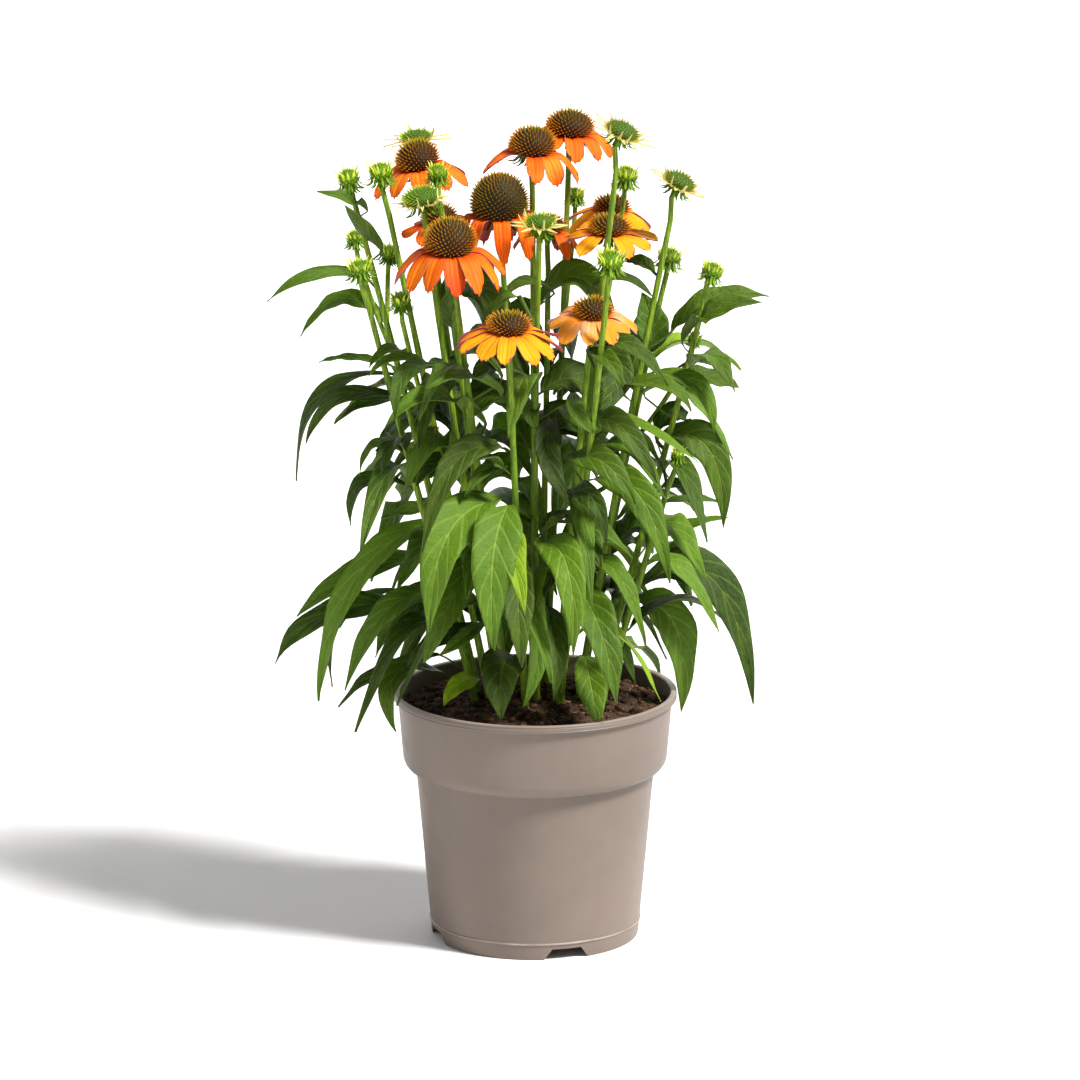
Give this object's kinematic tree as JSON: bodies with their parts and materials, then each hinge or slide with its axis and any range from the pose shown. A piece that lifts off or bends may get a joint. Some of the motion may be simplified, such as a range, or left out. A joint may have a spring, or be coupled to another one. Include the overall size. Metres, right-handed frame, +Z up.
{
  "type": "coneflower plant",
  "caption": "Potted coneflower plant in full bloom, with orange flowers, upright leafy stems and a filled round nursery pot.",
  "frame": {"origin": "centre of the pot's foot, on the surface the pot stands on", "axes": "+Z up along the pot's axis, -Y towards the side seen in the picture, +X to its right"},
  "size_m": [0.332, 0.235, 0.5634],
  "materials": {
    "pot_plastic": "satin, fine vertical drawing marks",
    "peat": "matte, fibrous",
    "foliage": "matte, lightly hairy",
    "petal_orange": "matte, ribbed",
    "petal_amber": "matte, ribbed",
    "petal_blush": "matte, ribbed",
    "cone_brown": "matte, spiny",
    "disc_green": "matte, spiny",
    "ray_cream": "matte"
  },
  "bodies": {
    "root": {"pot": "pot_plastic", "soil": "peat", "stem_01": "foliage", "stem_02": "foliage", "stem_03": "foliage", "stem_04": "foliage", "stem_05": "foliage", "stem_06": "foliage", "stem_07": "foliage", "stem_08": "foliage", "stem_09": "foliage", "stem_10": "foliage", "stem_11": "foliage", "stem_12": "foliage", "stem_13": "foliage", "stem_14": "foliage", "stem_15": "foliage", "stem_16": "foliage", "stem_17": "foliage", "stem_18": "foliage", "stem_19": "foliage", "stem_20": "foliage", "stem_21": "foliage", "stem_22": "foliage", "stem_23": "foliage", "stem_24": "foliage", "cone_01": "cone_brown", "rays_01": "petal_orange", "cone_02": "cone_brown", "rays_02": "petal_orange", "cone_03": "cone_brown", "rays_03": "petal_orange", "cone_04": "cone_brown", "rays_04": "petal_orange", "cone_05": "cone_brown", "rays_05": "petal_orange", "cone_06": "cone_brown", "rays_06": "petal_amber", "cone_07": "cone_brown", "rays_07": "petal_amber", "cone_08": "cone_brown", "rays_08": "petal_amber", "cone_09": "cone_brown", "rays_09": "petal_blush", "cone_10": "cone_brown", "rays_10": "petal_orange", "cone_11": "cone_brown", "rays_11": "petal_orange", "cone_12": "disc_green", "rays_12": "ray_cream", "cone_13": "disc_green", "rays_13": "ray_cream", "cone_14": "disc_green", "rays_14": "ray_cream", "cone_15": "disc_green", "rays_15": "ray_cream", "cone_16": "disc_green", "rays_16": "ray_cream"}
  },
  "joints": []
}
